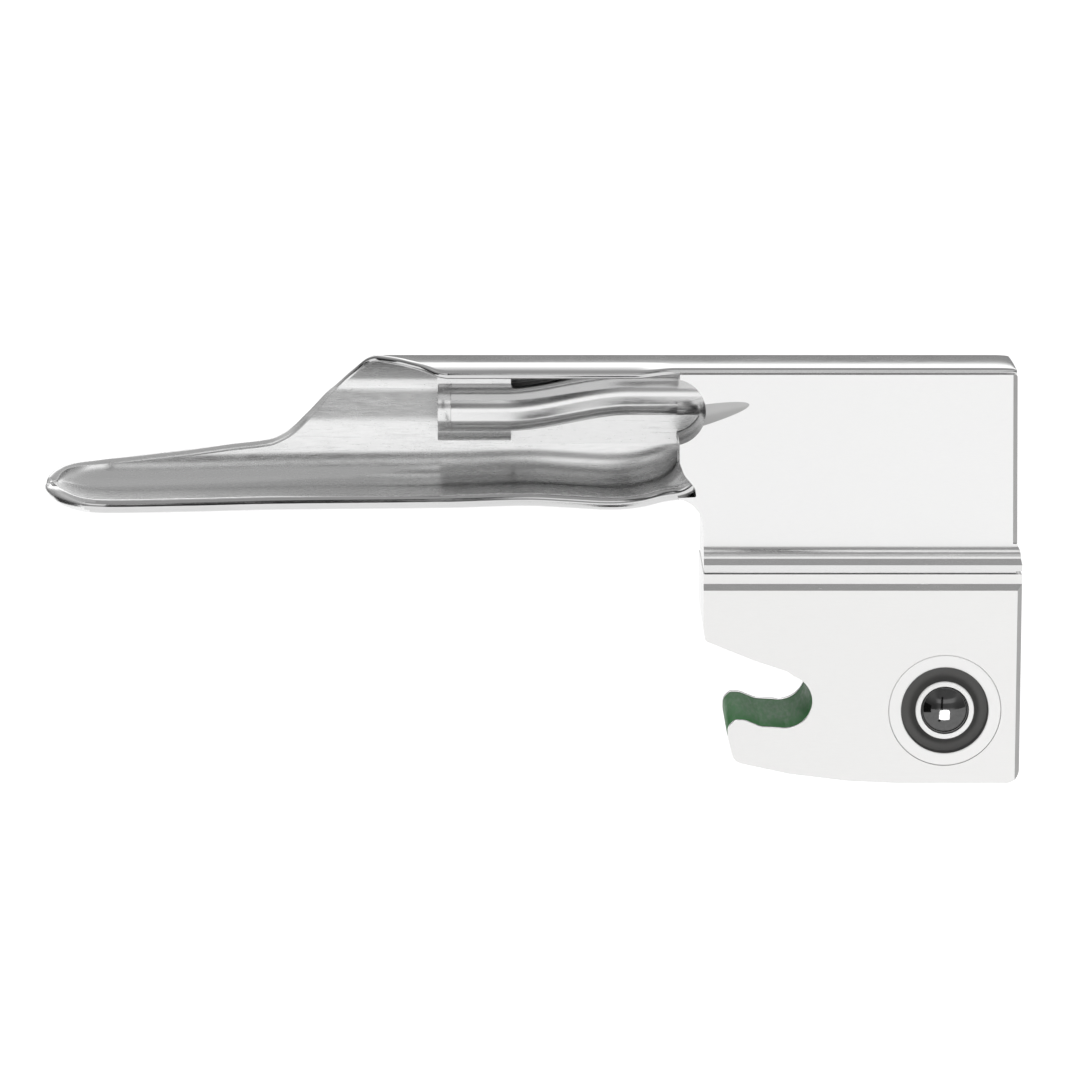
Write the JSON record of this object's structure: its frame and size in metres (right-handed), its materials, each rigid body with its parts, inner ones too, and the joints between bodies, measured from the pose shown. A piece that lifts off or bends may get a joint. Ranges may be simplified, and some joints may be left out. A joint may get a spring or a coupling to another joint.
{
  "type": "laryngoscope blade",
  "caption": "Straight infant laryngoscope blade: polished open channel with a light guide tube, satin heel block with a green-lined hook notch and spring ball detents.",
  "frame": {"origin": "axis of the handle's hinge pin, seated in the hook notch, at mid thickness", "axes": "+X from the tip towards the heel's back, +Y away from the channel's open side, +Z from the heel's base up to the flange"},
  "size_m": [0.0801, 0.0144, 0.0343],
  "materials": {
    "polished_steel": "mirror polished stainless steel",
    "satin_steel": "satin stainless steel",
    "pin_steel": "ground steel",
    "ball_steel": "polished bearing steel",
    "spring_steel": "drawn spring wire",
    "green_plastic": "moulded, semi-gloss",
    "fibre_glass": "polished end faces",
    "window_glass": "polished"
  },
  "bodies": {
    "blade": {"blade_channel": "polished_steel", "upper_block": "satin_steel", "heel_block": "satin_steel", "green_insert": "green_plastic", "insert_pin": "pin_steel", "light_guide_tube": "polished_steel", "light_guide_cradle": "polished_steel", "exit_ferrule": "polished_steel", "inlet_ferrule": "polished_steel", "light_exit_window": "window_glass", "light_inlet_window": "window_glass", "fibre_bundle": "fibre_glass", "detent_bushing_near": "satin_steel", "detent_bushing_far": "satin_steel", "detent_sleeve": "pin_steel", "detent_spring": "spring_steel", "dowel_front": "pin_steel", "dowel_rear": "pin_steel"},
    "ball_near": {"detent_ball_near": "ball_steel"},
    "ball_far": {"detent_ball_far": "ball_steel"}
  },
  "joints": [
    {"name": "detent_near_slide", "type": "slide", "parent": "blade", "child": "ball_near", "axis": [0, 1, 0], "range_m": [0, 0.0009], "stiffness_N_per_m": 1500, "springref_m": -0.0012, "deforming": ["detent_spring"]},
    {"name": "detent_far_slide", "type": "slide", "parent": "blade", "child": "ball_far", "axis": [0, -1, 0], "range_m": [0, 0.0009], "stiffness_N_per_m": 1500, "springref_m": -0.0012, "deforming": ["detent_spring"]}
  ]
}
